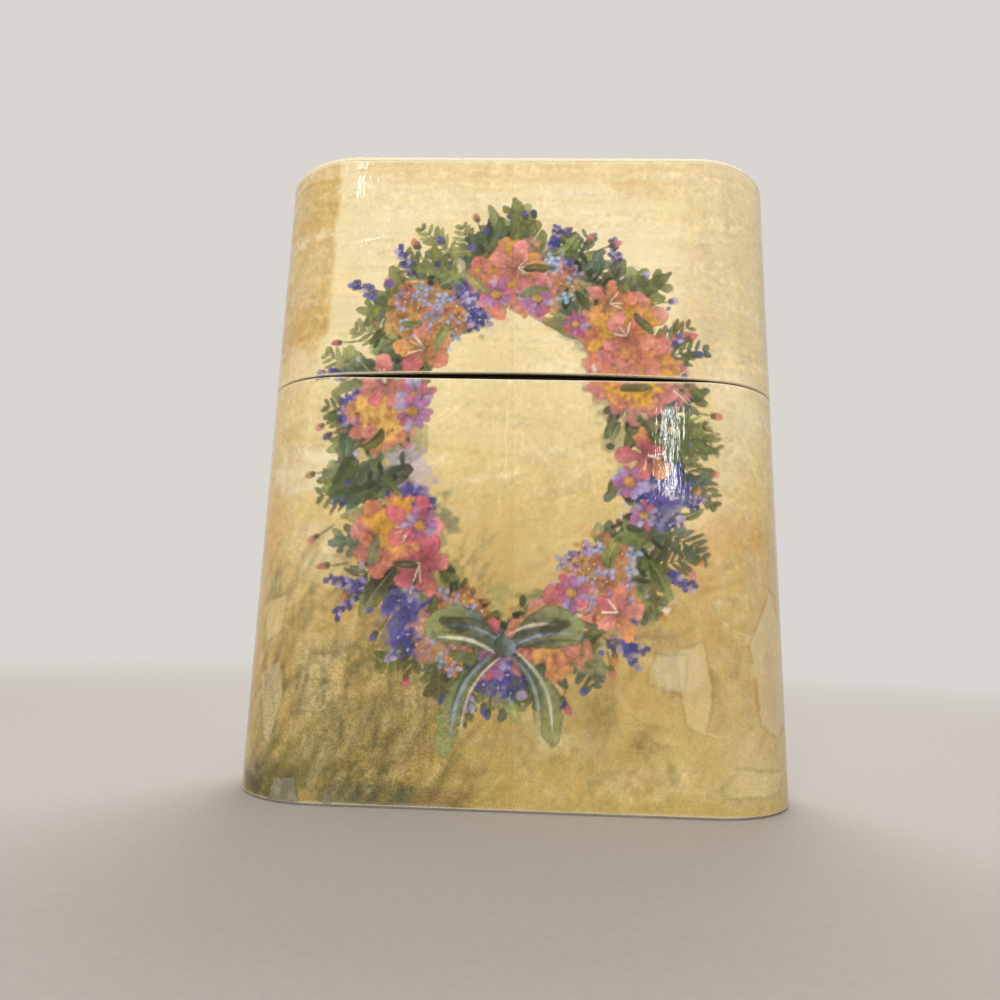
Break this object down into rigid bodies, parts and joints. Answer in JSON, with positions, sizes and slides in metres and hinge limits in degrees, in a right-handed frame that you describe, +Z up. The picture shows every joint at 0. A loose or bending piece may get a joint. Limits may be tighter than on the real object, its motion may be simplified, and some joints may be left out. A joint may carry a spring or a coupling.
{
  "type": "metal trinket box",
  "caption": "Upright pocket tin with full round ends, its outside covered in printed paper, with a hinged lid that closes over an inner collar.",
  "frame": {"origin": "centre of the bounding box's bottom face, on the plane the foot rests on", "axes": "+Z up from the foot to the lid's top, +X to the right as seen from the front, +Y from the front to the hinge at the back"},
  "size_m": [0.082, 0.0304, 0.098],
  "materials": {
    "tinplate": "bare rolled tinplate, satin, with faint rolling lines",
    "steel_wire": "drawn steel wire, smooth",
    "printed_paper": "printed paper under a glossy varnish, cream to ochre with scattered flowers",
    "dark_lacquer": "thin black-brown lacquer on tinplate, satin, worn bright along the top edge"
  },
  "bodies": {
    "box_body": {"body_wall": "tinplate", "body_floor": "tinplate", "inner_collar": "dark_lacquer", "hinge_pin": "steel_wire", "body_paper_left": "printed_paper", "body_paper_right": "printed_paper"},
    "lid": {"lid_wall": "tinplate", "lid_top": "tinplate", "lid_paper_left": "printed_paper", "lid_paper_right": "printed_paper", "lid_top_paper": "printed_paper"}
  },
  "joints": [
    {"name": "lid_hinge", "type": "hinge", "parent": "box_body", "child": "lid", "pos_m": [0, 0.01395, 0.061], "axis": [-1, 0, 0], "range_deg": [0, 120]}
  ]
}
